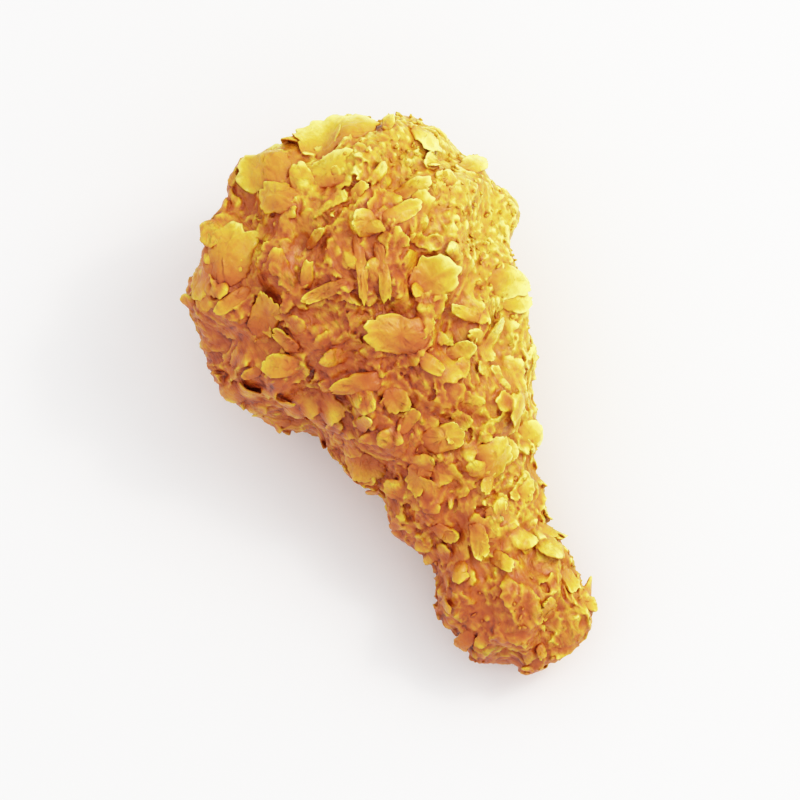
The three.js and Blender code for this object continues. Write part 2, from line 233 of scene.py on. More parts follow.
# How high the sheets rise, how the crust is bent, and its finer patterns.
WIDE_LIFT = 1.35
TALL_LIFT = 0.9
LAYER_LIFT = 1.3
CRUMBLY_LIFT = 0.45
SMALL_BEND = (6.0, 1.3)
LARGE_BEND = (22.0, 4.0)
CELL_SIZE = 1.5
CELL_LIFT = 0.6
RIDGES = (1.4, 6.0, 1.4)
RIDGE_LIFT = 0.7
LINES = (6.5, 1.2, 2.0)
LINE_PATCHES = 9.0
LINE_LIFT = 0.6
FINE_SIZE = 1.1
FINE_LIFT = 0.12

# The low plates, the small flakes and those that point down the neck, all fused into the crust.
PLATES = 240
PLATE_LENGTH = (3.5, 9.0)
PLATE_SHAPE = (0.5, 1.0)
PLATE_TILT = (6.0, 24.0)
PLATE_CURL = (-20.0, 8.0)
PLATE_THICKNESS = 0.8
SMALL_FLAKES = 130
SMALL_LENGTH = (2.0, 5.0)
SMALL_SHAPE = (0.4, 1.0)
SMALL_TILT = (5.0, 24.0)
SMALL_CURL = (-36.0, 6.0)
SMALL_THICKNESS = 0.65
NECK_END = -4.0
NECK_WAY = np.array([0.3, -1.0, 0.0])
NECK_SPREAD = 0.7
PETALS = 90
PETAL_LENGTH = (2.5, 5.5)
FUSED_RAGGED = 0.2

# The large flakes: thickness, the relief of their upper side, and how torn their outlines are.
LARGE_THICKNESS = 1.1
LARGE_RELIEF = 0.6
LARGE_RAGGED = 0.18
LARGE_RINGS = 9
LARGE_SIDES = 80

# An outline's tears, from long to short: fewest and most corners, and reach. Then its notches.
TEARS = ((4, 7, 1.4), (9, 15, 0.7), (24, 36, 0.6))
NOTCH_DEPTH = (0.05, 0.18)
NOTCH_WIDTH = (0.08, 0.22)
NARROWEST = 0.35

# A flake's surface: its waves, folds and lip, with their sizes along and across it.
WAVES_SIZE = (5.0, 3.2, 1.0)
FOLDS_SIZE = (4.2, 1.5, 1.0)
WAVE_LIFT = 0.8
FOLD_LIFT = 0.3
LIP_LIFT = 0.45
FLAKE_RIDGES = (1.5, 5.0, 1.5)

CRUMBS = 900
CRUMB_SIZE = (0.25, 0.75)
FLATTEST_CRUMB = (0.9, 0.6, 0.35)
FULLEST_CRUMB = (1.6, 1.1, 0.7)

# The rays that find how open a place is: how many, how far, what counts as a gap, and the start.
RAYS = 10
RAY_REACH = 7.0
GAP_REACH = 1.6
RAY_LIFT = 0.15

# The photograph's ways to the right and up, along the table.
PHOTO_RIGHT = np.array([0.894, -0.447, 0.0])
PHOTO_UP = np.array([0.447, 0.894, 0.0])

# Painted light: the tint is paler where a surface faces this way, up and to the right, near the lamps'
# way.
PAINTED_LIGHT_WAY = np.array([0.72, 0.28, 0.63])

STATION_Y, STATION_HALF, STATION_SIDE = np.array(STATIONS[::-1]).T

# A flake: its root on the form, its ways out and ahead, its sizes in millimetres, its angles in
# radians, how high the crust is at its root, and how far its outline is out at even angles.
Flake = namedtuple("Flake", "root out ahead length width tilt curl crust outline")
OUTLINE_TURNS = np.arange(80) * 2 * math.pi / 80


def between(limits, share):
    return limits[0] + (limits[1] - limits[0]) * share


def smoothstep(x, low, high):
    share = np.clip((x - low) / (high - low), 0, 1)
    return share * share * (3 - 2 * share)


def number_row(seed):
    """The part's own repeatable row of numbers from 0 to 1."""
    state = seed
    while True:
        state = state * 48271 % 2147483647
        yield state / 2147483647


def through_stations(values, y):
    """The smooth curve through the stations' values, which goes on straight past the ends."""
    index = np.arange(len(values))
    low = np.maximum(index - 1, 0)
    high = np.minimum(index + 1, len(values) - 1)
    slope = (values[high] - values[low]) / (STATION_Y[high] - STATION_Y[low])
    i = np.clip(np.searchsorted(STATION_Y, y) - 1, 0, len(values) - 2)
    gap = STATION_Y[i + 1] - STATION_Y[i]
    t = np.clip((y - STATION_Y[i]) / gap, 0, 1)
    t2 = t * t
    t3 = t2 * t
    inside = values[i] * (2 * t3 - 3 * t2 + 1) + values[i + 1] * (3 * t2 - 2 * t3)
    inside += gap * (slope[i] * (t3 - 2 * t2 + t) + slope[i + 1] * (t3 - t2))
    before = slope[i] * np.minimum(y - STATION_Y[i], 0)
    after = slope[i + 1] * np.maximum(y - STATION_Y[i + 1], 0)
    return inside + before + after


def form_at(y):
    """The form's squared half width, side and height share at a place along Y."""
    y = np.asarray(y, float)
    square = through_stations(STATION_HALF**2, y)
    side = through_stations(STATION_SIDE, y)
    along = smoothstep(y, REST_BONE_Y, REST_MEAT_Y)
    return square, side, BONE_HEIGHT_SHARE + (MEAT_HEIGHT_SHARE - BONE_HEIGHT_SHARE) * along


def rest_height(y):
    square, _, flat = form_at(y)
    return math.sqrt(square) * float(flat) + REST_GAP


MEAT_MIDDLE = rest_height(REST_MEAT_Y)
BONE_MIDDLE = rest_height(REST_BONE_Y)
MIDDLE_SLOPE = (MEAT_MIDDLE - BONE_MIDDLE) / (REST_MEAT_Y - REST_BONE_Y)


def middle_height(y):
    return BONE_MIDDLE + (np.asarray(y) - REST_BONE_Y) * MIDDLE_SLOPE


def form_point(y, turn):
    """Points on the smooth form, at places along Y and angles round it in radians."""
    square, side, flat = form_at(y)
    half = np.sqrt(np.maximum(square, 0))
    x = side + half * np.sin(turn)
    z = middle_height(y) + half * flat * np.cos(turn)
    return np.stack(np.broadcast_arrays(x, y, z), -1)


def outside(p):
    """How far points are outside the smooth form, as a squared length."""
    square, side, flat = form_at(p[..., 1])
    return (p[..., 0] - side) ** 2 + ((p[..., 2] - middle_height(p[..., 1])) / flat) ** 2 - square


def slope_outside(p):
    step = 0.05
    slope = np.empty_like(p)
    for axis in range(3):
        shift = np.zeros(3)
        shift[axis] = step
        slope[..., axis] = (outside(p + shift) - outside(p - shift)) / (2 * step)
    return slope


def onto_form(p):
    """The points of the smooth form next to p, and the ways out of it there."""
    at = np.array(p, float)
    for _ in range(4):
        slope = slope_outside(at)
        share = outside(at) / np.maximum((slope**2).sum(-1), 1)
        at = at - slope * share[..., None]
    return at, unit(slope_outside(at))


def unit(v):
    return v / np.maximum(np.linalg.norm(v, axis=-1, keepdims=True), 1e-12)


def make_waves():
    row = number_row(LUMP_SEED)
    ways, starts = [], []
    for _ in range(LUMP_WAVES):
        up = 2 * next(row) - 1
        turn = 2 * math.pi * next(row)
        flat = math.sqrt(1 - up * up)
        length = between(LUMP_LENGTH, next(row))
        way = np.array([flat * math.cos(turn), flat * math.sin(turn), up])
        ways.append(way * 2 * math.pi / length)
        starts.append(2 * math.pi * next(row))
    return np.array(ways), np.array(starts)


WAVES, WAVE_STARTS = make_waves()
LOBE_POINTS = [form_point(y, math.radians(turn)) for y, turn, _, _ in LOBES]


def batter(p):
    """How far the batter stands off the smooth form."""
    rise = LUMP_RISE * np.sin(p @ WAVES.T + WAVE_STARTS).sum(-1)
    for point, (_, _, reach, lift) in zip(LOBE_POINTS, LOBES):
        rise = rise + lift * np.exp(-((p - point) ** 2).sum(-1) / reach**2)
    return rise


def strewn_flakes():
    """The part's strewn flakes, in its own order of random draws."""
    row = number_row(STREWN_SEED)
    roots = [form_point(f[0], math.radians(f[1])) for f in SHOWN_FLAKES]
    widest = STATION_HALF.max()
    made = []
    for _ in range(STREWN_TRIES):
        if len(made) == STREWN_FLAKES:
            break
        y = between(STREWN_ENDS, next(row))
        turn = 360 * next(row) - 180
        length = between(STREWN_LENGTH, next(row))
        width = length * between(STREWN_SHAPE, next(row))
        heading = 360 * next(row)
        tilt = between(STREWN_TILT, next(row))
        curl = between(STREWN_CURL, next(row))
        half = math.sqrt(max(float(form_at(y)[0]), 0))
        kept = next(row) * widest < half
        root = form_point(y, math.radians(turn))
        near = any(np.linalg.norm(other - root) < STREWN_APART for other in roots)
        on_top = math.cos(math.radians(turn)) > BARE_TOP
        if kept and not near and not on_top:
            roots.append(root)
            made.append((y, turn, length, width, heading, tilt, curl))
    return made


def sample(points, step, way):
    """A noise of mathutils at each point, where step is the size of its lumps in millimetres."""
    scaled = points / np.asarray(step, float)
    return np.array([way(Vector(p)) for p in scaled])


def smooth_grid(step):
    """The smooth form as vertices and even quads, from a grid of cells with that step."""
    low = np.array([-40.0, STATION_Y[0] - 2, -3.0])
    high = np.array([40.0, STATION_Y[-1] + 2, 66.0])
    count = np.ceil((high - low) / step).astype(int) + 1
    x, y, z = (low[a] + step * np.arange(count[a]) for a in range(3))
    square, side, flat = form_at(y)
    across = (x[:, None] - side[None, :]) ** 2 - square[None, :]
    upward = ((z[None, :] - middle_height(y)[:, None]) / flat[:, None]) ** 2
    field = across[:, :, None] + upward[None, :, :]
    inside = field < 0
    corners = [(i, j, k) for i in (0, 1) for j in (0, 1) for k in (0, 1)]
    cells = tuple(n - 1 for n in count)
    taken = np.zeros(cells, np.int8)
    for i, j, k in corners:
        taken += inside[i : i + cells[0], j : j + cells[1], k : k + cells[2]]
    at = np.argwhere((taken > 0) & (taken < len(corners)))
    number = np.full(cells, -1, np.int32)
    number[tuple(at.T)] = np.arange(len(at))
    points = low + step * (at + 0.5)
    quads = []
    for axis in range(3):
        one = np.zeros(3, int)
        one[axis] = 1
        b, c = (np.eye(3, dtype=int)[(axis + n) % 3] for n in (1, 2))
        here = inside[: count[0] - one[0], : count[1] - one[1], : count[2] - one[2]]
        there = inside[one[0] :, one[1] :, one[2] :]
        edge = np.argwhere(here != there)
        leaves = here[tuple(edge.T)]
        steps = ((0, 0), (1, 0), (1, 1), (0, 1))
        ring = [number[tuple((edge - b * i - c * j).T)] for i, j in steps]
        ring = np.stack(ring, 1)
        ring[~leaves] = ring[~leaves][:, ::-1]
        quads.append(ring)
    return onto_form(points)[0], np.concatenate(quads)


def crumbly(p):
    """Where the crust is fine and crumbly, from 0 to 1: at the upper right, and here and there."""
    patch = sample(p, PATCH_SIZE, noise.noise)
    aside = p[:, 0] + 0.2 * (p[:, 1] - 20) + PATCH_SHIFT * patch
    right = smoothstep(aside, *CRUMBLY_RIGHT) * smoothstep(p[:, 1], *CRUMBLY_UP)
    under = smoothstep(patch, *CRUMBLY_PATCH) * smoothstep(-p[:, 2], *CRUMBLY_UNDER)
    bone = BONE_CRUMBS * smoothstep(-p[:, 1], *CRUMBLY_BONE)
    return np.maximum(np.maximum(right, under), bone)


def layered(p):
    """Where the sheets of crust lie in long layers, from 0 to 1: at the lower left."""
    left = smoothstep(-p[:, 0], *LAYERS_LEFT)
    return left * smoothstep(p[:, 1], *LAYERS_START) * (1 - smoothstep(p[:, 1], *LAYERS_END))


def ledges(p, size, apart, torn):
    """Overlapping sheets of crust: from 0 behind a sheet's torn edge up to 1 at the next edge.

    Also gives the level whose whole steps are the edges.
    """
    size = np.asarray(size, float)
    level = sample(p, size, noise.noise)
    for tear, depth, shift in zip(TEAR_SIZES, TEAR_DEPTHS, (5.0, 9.0)):
        level += torn * depth * sample(p + shift, size * tear, noise.noise)
    share = level * apart - np.floor(level * apart)
    ramp = np.minimum(share / (1 - STEEP_SHARE), (1 - share) / STEEP_SHARE)
    there = smoothstep(sample(p + 13.0, size * 0.7, noise.noise), *PATCHES_OF_SHEETS)
    return ramp**SHEET_POWER * there, level


def uphill(values, points, faces):
    """The way in which values rise along a mesh, at its vertices."""
    pairs = np.concatenate([faces[:, [0, 1]], faces[:, [1, 2]], faces[:, [2, 3]], faces[:, [3, 0]]])
    both = np.concatenate([pairs, pairs[:, ::-1]])
    gap = points[both[:, 1]] - points[both[:, 0]]
    gain = (values[both[:, 1]] - values[both[:, 0]]) / np.maximum((gap**2).sum(-1), 1e-6)
    ways = np.stack([np.bincount(both[:, 0], gain * gap[:, a], len(values)) for a in range(3)], -1)
    for _ in range(3):
        ways = neighbour_mean(ways, faces)
    return unit(ways)


def grain(points, faces, crumb_share):
    """The crust's sheets, wrinkles and crumbs: how high it is and how far its edges overhang."""
    small = np.array([noise.noise_vector(Vector(v)) for v in points / SMALL_BEND[0]])
    large = np.array([noise.noise_vector(Vector(v)) for v in points / LARGE_BEND[0] + 3.0])
    bent = points + SMALL_BEND[1] * small + LARGE_BEND[1] * large
    upright = np.stack([bent @ PHOTO_RIGHT, bent @ PHOTO_UP, bent[:, 2]], -1)
    layer_share = layered(points)
    wide_lift = WIDE_LIFT * (1 - 0.6 * crumb_share) * (1 - 0.6 * layer_share)
    tall_lift = TALL_LIFT * (1 - layer_share) * (1 - 0.5 * crumb_share)
    sheets = [
        (wide_lift, bent, WIDE_SHEETS),
        (tall_lift, upright + 40.0, TALL_SHEETS),
        (LAYER_LIFT * layer_share, upright + 60.0, LONG_LAYERS),
        (CRUMBLY_LIFT * crumb_share, bent + 80.0, CRUMBLY_SHEETS),
    ]
    height = np.zeros(len(points))
    overhang = np.zeros_like(points)
    for lift, place, kind in sheets:
        rise, level = ledges(place, *kind)
        height += lift * rise
        overhang += (OVERHANG * lift * rise**4)[:, None] * uphill(level, points, faces)
    cells = sample(points + 0.6 * small, CELL_SIZE, lambda v: noise.voronoi(v)[0][0])
    height += CELL_LIFT * crumb_share * (0.5 - cells)
    ridges = 0.5 - np.abs(sample(upright, RIDGES, noise.noise))
    lines = 0.5 - np.abs(sample(upright + 30.0, LINES, noise.noise))
    lines *= smoothstep(sample(upright + 11.0, LINE_PATCHES, noise.noise), -0.2, 0.1)
    fine = 0.5 - np.abs(sample(bent + 57.0, FINE_SIZE, noise.noise))
    ridge_lift = RIDGE_LIFT * ridges * (1 - crumb_share) * (1 - 0.6 * layer_share)
    height += ridge_lift + LINE_LIFT * lines + FINE_LIFT * fine
    return height, overhang


def tangents(out, rng):
    """A random way along the surface for each way out."""
    return unit(np.cross(out, unit(rng.normal(size=out.shape))))


def ragged_size(turn, rng, ragged, notches):
    """A torn outline's size at angles round it: long tears, short tears and sharp notches."""
    size = np.ones_like(turn)
    counts = [rng.integers(fewest, most) for fewest, most, _ in TEARS]
    for count, (_, _, reach) in zip(counts, TEARS):
        places = np.sort(rng.uniform(0, 2 * math.pi, count))
        tears = ragged * reach * rng.uniform(-1.0, 0.6, count)
        size += np.interp(turn, places, tears, period=2 * math.pi)
    for _ in range(notches):
        away = np.abs((turn - rng.normal(0, 1.1) + math.pi) % (2 * math.pi) - math.pi)
        size -= rng.uniform(*NOTCH_DEPTH) * np.maximum(0, 1 - away / rng.uniform(*NOTCH_WIDTH))
    return np.maximum(size, NARROWEST)


def squared(u, v):
    """The distance from the middle in a round outline with squarer corners."""
    return (np.abs(u) ** FLAKE_SQUARE + np.abs(v) ** FLAKE_SQUARE) ** (1 / FLAKE_SQUARE)


def disc(rings, sides):
    """A ball pressed flat, as polar places and faces: upper rings, rim and lower rings."""
    turn = np.arange(sides) * 2 * math.pi / sides
    ring = 1 - (1 - np.arange(1, rings + 1) / rings) ** 1.5
    upper = np.arange(rings * sides).reshape(rings, sides)
    lower = np.concatenate([upper[:-1] + rings * sides, upper[-1:]])
    count = rings * sides + (rings - 1) * sides
    radius = np.concatenate([np.repeat(ring, sides), np.repeat(ring[:-1], sides), [0, 0]])
    turns = np.concatenate([np.tile(turn, 2 * rings - 1), [0, 0]])
    layer = np.concatenate([np.ones(rings * sides), -np.ones((rings - 1) * sides), [1, -1]])
    faces = []
    for grid, centre, flip in ((upper, count, False), (lower, count + 1, True)):
        after = np.roll(grid, -1, axis=1)
        bands = np.stack([grid[:-1], grid[1:], after[1:], after[:-1]], -1).reshape(-1, 4)
        caps = np.stack([np.full(sides, centre), grid[0], after[0]], -1)
        caps = np.concatenate([caps, caps[:, :1]], -1)
        both = np.concatenate([bands, caps])
        faces.append(both if flip else both[:, ::-1])
    return radius, turns, layer, np.concatenate(faces)


def torn_outline(rng, ragged, notches=2):
    """How far a flake's torn outline is out, at even angles."""
    size = ragged_size(OUTLINE_TURNS, rng, ragged, rng.integers(notches - 1, notches + 2))
    return size / squared(np.cos(OUTLINE_TURNS), np.sin(OUTLINE_TURNS))


def flake_bend(flake, share):
    """A flake's slope, run and rise at a share of its length from the root."""
    bend = flake.curl if abs(flake.curl) > 1e-6 else 1e-6
    slope = flake.tilt + bend * share
    run = flake.length * (np.sin(slope) - math.sin(flake.tilt)) / bend
    rise = flake.length * (math.cos(flake.tilt) - np.cos(slope)) / bend
    return slope, run, rise


def flake_height(flake, share, wide, rise):
    """How high a flake's middle is above the batter, where the highest ends are held down."""
    cup = FLAKE_CUP * min(1.0, flake.width / 8) * wide**2
    highest = FLAKE_HIGHEST * (1 - 0.6 * float(smoothstep(flake.ahead[2], 0.1, 0.6)))
    held = highest * (1 - np.exp(-rise / highest))
    return flake.crust + held - FLAKE_SINK * (1 - share) - cup


def lay_mounds(points, height, flakes):
    """The crust raised to the flakes' undersides, but for their free ends."""
    order = np.argsort(points[:, 1])
    sorted_y = points[order, 1]
    for flake in flakes:
        reach = 1.2 * flake.length + flake.width / 2
        first, last = np.searchsorted(sorted_y, flake.root[1] + np.array([-reach, reach]))
        near = order[first:last]
        away = points[near] - flake.root
        share = away @ flake.ahead / flake.length
        wide = away @ np.cross(flake.ahead, flake.out) / (flake.width / 2)
        round_it = np.arctan2(wide, 2 * share - 1)
        size = np.interp(round_it, OUTLINE_TURNS, flake.outline, period=2 * math.pi)
        cover = smoothstep(size - np.hypot(2 * share - 1, wide), 0.0, 0.22)
        beside = np.abs(away @ flake.out) < 0.6 * flake.length
        cover = cover * smoothstep(0.9 - share, 0.0, 0.2) * beside
        share = np.clip(share, 0, 1)
        top = flake_height(flake, share, wide, flake_bend(flake, share)[2]) - MOUND_GAP
        height[near] += (np.maximum(height[near], top) - height[near]) * cover
    return height


def flakes_piece(flakes, rings, sides, thick, relief=0.0):
    """The vertices, faces and edge shares of many flakes."""
    radius, turns, layer, faces = disc(rings, sides)
    places, heights, edges, all_faces = [], [], [], []
    for n, flake in enumerate(flakes):
        length, width = flake.length, flake.width
        torn = np.interp(turns, OUTLINE_TURNS, flake.outline, period=2 * math.pi)
        even = 1 / squared(np.cos(turns), np.sin(turns))
        size = (even + (torn - even) * radius**3) * radius
        share = 0.5 + 0.5 * np.cos(turns) * size
        wide = np.sin(turns) * size
        slope, run, rise = flake_bend(flake, share)
        free = smoothstep(share, 0.1, 0.8)
        half = layer * thick * (1.25 - 0.5 * free) * np.sqrt(np.maximum(1 - radius**10, 0)) / 2
        own = np.stack([share * length, 0.5 * wide * width, np.full(len(share), 9.7 * n)], -1)
        waves = sample(own, WAVES_SIZE, noise.noise)
        folds = 0.5 - np.abs(sample(own + 3.0, FOLDS_SIZE, noise.noise))
        lip = min(1.0, length / 9) * (0.25 + 0.75 * abs(math.sin(2.3 * n))) * radius**6
        height = flake_height(flake, share, wide, rise) + half * np.cos(slope)
        height = height + free * (WAVE_LIFT * min(1.0, length / 9) * waves + LIP_LIFT * lip)
        height = height + FOLD_LIFT * min(1.0, length / 6) * folds
        across = np.cross(flake.ahead, flake.out)
        place = flake.root + flake.ahead * (run - half * np.sin(slope))[:, None]
        places.append(place + across * (0.5 * width * wide)[:, None])
        heights.append(height)
        edges.append((0.4 + radius**5) * free - 0.35 * (1 - free) ** 2 + 0.6 * (folds - 0.33))
        all_faces.append(faces + n * len(radius))
    place, height = np.concatenate(places), np.concatenate(heights)
    bumps = 0.14 * sample(place + 3.0, 1.9, noise.noise) + 0.07 * sample(place + 9.0, 0.8, noise.noise)
    at, out = onto_form(place)
    if relief:
        upright = np.stack([at @ PHOTO_RIGHT, at @ PHOTO_UP, at[:, 2]], -1)
        torn = ledges(upright + 20.0, *FLAKE_SHEETS)[0]
        ridges = 0.5 - np.abs(sample(upright, FLAKE_RIDGES, noise.noise))
        bumps = bumps + relief * (0.7 * torn + 0.5 * ridges - 0.4)
    height = height + bumps * np.tile(layer, len(flakes))
    vertices = at + out * (batter(at) + height)[:, None]
    return vertices, np.concatenate(all_faces), np.concatenate(edges)


def part_flakes(tree, height, rng):
    """The part's own flakes."""
    flakes = []
    for y, turn, length, width, heading, tilt, curl in SHOWN_FLAKES + strewn_flakes():
        root, out = onto_form(form_point(y, math.radians(turn)))
        heading = math.radians(heading)
        ahead = np.array([math.sin(heading), math.cos(heading), 0.0])
        if abs(turn) > 90:
            ahead[0] = -ahead[0]
        ahead = unit(ahead - out * (ahead @ out))
        crust = max(0.0, 0.5 * height[tree.find(root)[1]])
        if len(flakes) >= len(SHOWN_FLAKES):
            tilt = STREWN_LOWER * tilt
        angles = (math.radians(tilt), math.radians(curl))
        outline = torn_outline(rng, LARGE_RAGGED, 1 + int(width / 4))
        flakes.append(Flake(root, out, ahead, length, width, *angles, crust, outline))
    return flakes


def plates(points, outs, height, crumb_share, rng):
    """Low plates at random places, which fuse into the crust."""
    roots = rng.integers(0, len(points), PLATES)
    aheads = tangents(outs[roots], rng)
    flakes = []
    for root, ahead in zip(roots, aheads):
        length = between(PLATE_LENGTH, rng.random() ** 1.3) * (1 - 0.55 * crumb_share[root])
        width = length * rng.uniform(*PLATE_SHAPE)
        angles = (math.radians(rng.uniform(*PLATE_TILT)), math.radians(rng.uniform(*PLATE_CURL)))
        crust = height[root] + 0.2
        outline = torn_outline(rng, FUSED_RAGGED)
        flakes.append(Flake(points[root], outs[root], ahead, length, width, *angles, crust, outline))
    return flakes


def small_flakes(points, outs, height, crumb_share, rng):
    """Small flakes at random places, smaller where the crust is crumbly."""
    roots = rng.integers(0, len(points), SMALL_FLAKES)
    narrow = np.flatnonzero(points[:, 1] < NECK_END)
    roots = np.concatenate([roots, narrow[rng.integers(0, len(narrow), PETALS)]])
    aheads = tangents(outs[roots], rng)
    down = unit(NECK_WAY + NECK_SPREAD * rng.normal(size=aheads.shape))
    down = unit(down - outs[roots] * (down * outs[roots]).sum(-1, keepdims=True))
    flakes = []
    for n, (root, ahead) in enumerate(zip(roots, aheads)):
        length = between(SMALL_LENGTH, rng.random() ** 1.6) * (1 - 0.35 * crumb_share[root])
        if n >= SMALL_FLAKES:
            ahead = down[n]
            length = between(PETAL_LENGTH, rng.random())
        width = length * rng.uniform(*SMALL_SHAPE)
        angles = (math.radians(rng.uniform(*SMALL_TILT)), math.radians(rng.uniform(*SMALL_CURL)))
        crust = height[root] + 0.15
        outline = torn_outline(rng, FUSED_RAGGED)
        flakes.append(Flake(points[root], outs[root], ahead, length, width, *angles, crust, outline))
    return flakes


def crumbs_piece(points, outs, height, crumb_share, rng):
    """Broken bits of batter on the crust, as vertices and faces."""
    ball = bpy.data.meshes.new("ball")
    builder = bmesh.new()
    bmesh.ops.create_icosphere(builder, subdivisions=1, radius=1.0)
    builder.to_mesh(ball)
    builder.free()
    unit_ball = np.array([v.co for v in ball.vertices])
    triangles = np.array([list(p.vertices) for p in ball.polygons])
    bpy.data.meshes.remove(ball)
    picks = rng.integers(0, len(points), CRUMBS * 8)
    picks = picks[rng.random(len(picks)) < 0.08 + 0.92 * crumb_share[picks]][:CRUMBS]
    vertices, faces = [], []
    for n, pick in enumerate(picks):
        size = between(CRUMB_SIZE, rng.random() ** 1.8)
        turned = np.array(Quaternion(rng.normal(size=4)).normalized().to_matrix())
        uneven = 1 + 0.55 * sample(unit_ball + 7.3 * n, 0.8, noise.noise)
        shape = rng.uniform(FLATTEST_CRUMB, FULLEST_CRUMB)
        bits = unit_ball * uneven[:, None] * shape @ turned.T * size
        rise = batter(points[pick]) + height[pick] + 0.2 * size
        vertices.append(bits + points[pick] + outs[pick] * rise)
        faces.append(triangles + n * len(unit_ball))
    return np.concatenate(vertices), np.concatenate(faces)


def into_box(vertices):
    """Tips that pass the CAD box are drawn back most of the way, and none goes below the table."""
    low, high = (np.array(corner) / MM for corner in cad_box)
    vertices = vertices - BOX_EASE * (np.maximum(vertices - high, 0) + np.minimum(vertices - low, 0))
    vertices[:, 2] = np.maximum(vertices[:, 2], 0)
    return vertices


def make_piece(name, vertices, faces):
    """A smooth shaded mesh object from millimetres, as a piece of the drumstick."""
    mesh = bpy.data.meshes.new(name)
    vertices = into_box(vertices) * MM
    if faces.shape[1] == 4:
        real = faces[:, 3] != faces[:, 0]
        corners = [tuple(f) for f in faces[real].tolist()]
        corners += [tuple(f[:3]) for f in faces[~real].tolist()]
    else:
        corners = faces.tolist()
    mesh.from_pydata(vertices.tolist(), [], corners)
    mesh.validate()
    mesh.shade_smooth()
    mesh.update()
    piece = bpy.data.objects.new(name, mesh)
    bpy.context.scene.collection.objects.link(piece)
    return piece


def evaluated(vertices, faces, kind, **settings):
    """The mesh that one modifier makes of vertices in millimetres and faces."""
    source = make_piece("source", vertices, faces)
    modifier = source.modifiers.new("modifier", kind)
    for name, value in settings.items():
        setattr(modifier, name, value)
    graph = bpy.context.evaluated_depsgraph_get()
    made = bpy.data.meshes.new_from_object(source.evaluated_get(graph))
    mesh = source.data
    bpy.data.objects.remove(source)
    bpy.data.meshes.remove(mesh)
    return made


def mesh_arrays(mesh):
    """A mesh's vertices in millimetres and its faces, where a triangle repeats its first corner."""
    vertices = np.empty(len(mesh.vertices) * 3, np.float32)
    mesh.vertices.foreach_get("co", vertices)
    corners = np.empty(len(mesh.loops), np.int32)
    mesh.loops.foreach_get("vertex_index", corners)
    starts = np.empty(len(mesh.polygons), np.int32)
    totals = np.empty(len(mesh.polygons), np.int32)
    mesh.polygons.foreach_get("loop_start", starts)
    mesh.polygons.foreach_get("loop_total", totals)
    fourth = starts + np.where(totals > 3, 3, 0)
    faces = corners[np.stack([starts, starts + 1, starts + 2, fourth], -1)]
    return vertices.reshape(-1, 3).astype(float) / MM, faces


def neighbour_mean(values, faces):
    """The mean of the values at each vertex's neighbours."""
    pairs = np.concatenate([faces[:, [0, 1]], faces[:, [1, 2]], faces[:, [2, 3]], faces[:, [3, 0]]])
    pairs = pairs[pairs[:, 0] != pairs[:, 1]]
    both = np.concatenate([pairs, pairs[:, ::-1]])
    count = np.maximum(np.bincount(both[:, 0], minlength=len(values)), 1)
    if values.ndim == 1:
        return np.bincount(both[:, 0], values[both[:, 1]], len(values)) / count
    axes = range(values.shape[1])
    sums = [np.bincount(both[:, 0], values[both[:, 1], a], len(values)) for a in axes]
    return np.stack(sums, -1) / count[:, None]


def fused(parts):
    """One surface round all the parts, slightly rounded where they meet."""
    start = 0
    shifted = []
    for vertices, faces in parts:
        shifted.append(faces + start)
        start += len(vertices)
    mesh = evaluated(
        np.concatenate([v for v, _ in parts]),
        np.concatenate(shifted),
        "REMESH",
        mode="VOXEL",
        voxel_size=FUSE_STEP * MM,
    )
    vertices, faces = mesh_arrays(mesh)
    bpy.data.meshes.remove(mesh)
    vertices += FUSE_SMOOTH * (neighbour_mean(vertices, faces) - vertices)
    mesh = evaluated(vertices, faces, "DECIMATE", ratio=CRUST_TRIANGLES / (2 * len(faces)))
    made = mesh_arrays(mesh)
    bpy.data.meshes.remove(mesh)
    return made


def stand_out(values, faces):
    """How far the values at a mesh's vertices are over those round about."""
    even = values
    for _ in range(EVEN_ROUNDS):
        even = 0.4 * even + 0.6 * neighbour_mean(even, faces)
    return values - even


def put_attribute(piece, name, values):
    layer = piece.data.attributes.new(name, "FLOAT", "POINT")
    layer.data.foreach_set("value", np.asarray(values, np.float32))


def read_vertices(piece):
    """A piece's vertices and their normals."""
    count = len(piece.data.vertices)
    places = np.empty(count * 3, np.float32)
    normals = np.empty(count * 3, np.float32)
    piece.data.vertices.foreach_get("co", places)
    piece.data.vertex_normals.foreach_get("vector", normals)
    return places.reshape(-1, 3).astype(float), normals.reshape(-1, 3).astype(float)


def openness(pieces):
    """For the pieces' vertices, the share of rays that leave the crust, and that soon meet it."""
    corners, polygons = [], []
    start = 0
    for piece in pieces:
        places, _ = read_vertices(piece)
        corners.append(places)
        polygons += [[start + v for v in p.vertices] for p in piece.data.polygons]
        start += len(places)
    tree = BVHTree.FromPolygons(np.concatenate(corners).tolist(), polygons)
    golden = math.pi * (3 - math.sqrt(5))
    index = np.arange(RAYS)
    up = np.sqrt(1 - (index + 0.5) / RAYS)
    flat = np.sqrt(1 - up**2)
    fan = np.stack([flat * np.cos(golden * index), flat * np.sin(golden * index), up], -1)
    shares = []
    for piece in pieces:
        places, normals = read_vertices(piece)
        side = unit(np.cross(normals, [0.31, 0.17, 0.93]))
        other = np.cross(normals, side)
        starts = (places + normals * RAY_LIFT * MM).tolist()
        ways = fan[None, :, :1] * side[:, None] + fan[None, :, 1:2] * other[:, None]
        ways = (ways + fan[None, :, 2:] * normals[:, None]).tolist()
        reach = RAY_REACH * MM
        share = np.empty(len(starts))
        gap = np.empty(len(starts))
        for i, (begin, fan_ways) in enumerate(zip(starts, ways)):
            begin = Vector(begin)
            hits = near = 0.0
            for way in fan_ways:
                distance = tree.ray_cast(begin, way, reach)[3]
                if distance is not None:
                    hits += 1 - distance / reach
                    near += max(0.0, 1 - distance / (GAP_REACH * MM))
            share[i] = 1 - hits / RAYS
            gap[i] = near / RAYS
        shares.append((share, gap))
    return shares


